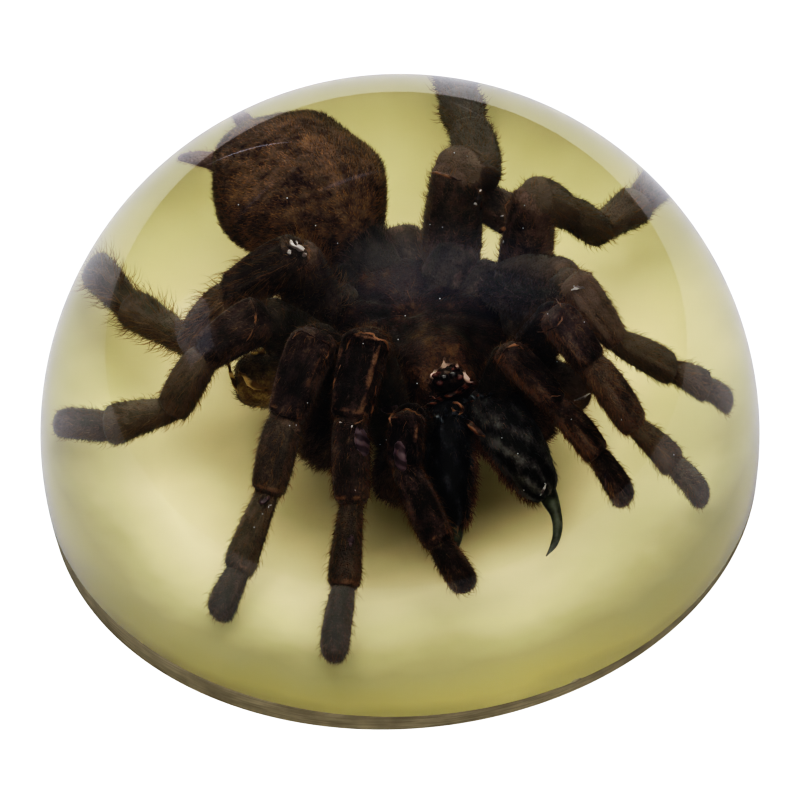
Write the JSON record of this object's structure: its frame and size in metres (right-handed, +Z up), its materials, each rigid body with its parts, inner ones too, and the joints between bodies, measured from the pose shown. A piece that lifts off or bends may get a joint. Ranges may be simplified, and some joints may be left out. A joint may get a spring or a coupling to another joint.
{
  "type": "tarantula in resin dome",
  "caption": "Tarantula cast whole in a clear resin dome over a pale yellow-green pigmented base layer, ground flat underneath to stand on a desk.",
  "frame": {"origin": "centre of the flat underside", "axes": "+Z up through the dome, -Y the side that the spider faces and that the picture is taken from"},
  "size_m": [0.09, 0.09, 0.0496],
  "materials": {
    "clear_resin": "polished, clear",
    "pigmented_resin": "opaque, ground matt underneath and round its edge",
    "spider": "short dark brown pile with longer hairs"
  },
  "bodies": {
    "root": {"clear_dome_upper": "clear_resin", "clear_dome_lower": "clear_resin", "base_layer": "pigmented_resin", "tarantula": "spider"}
  },
  "joints": []
}
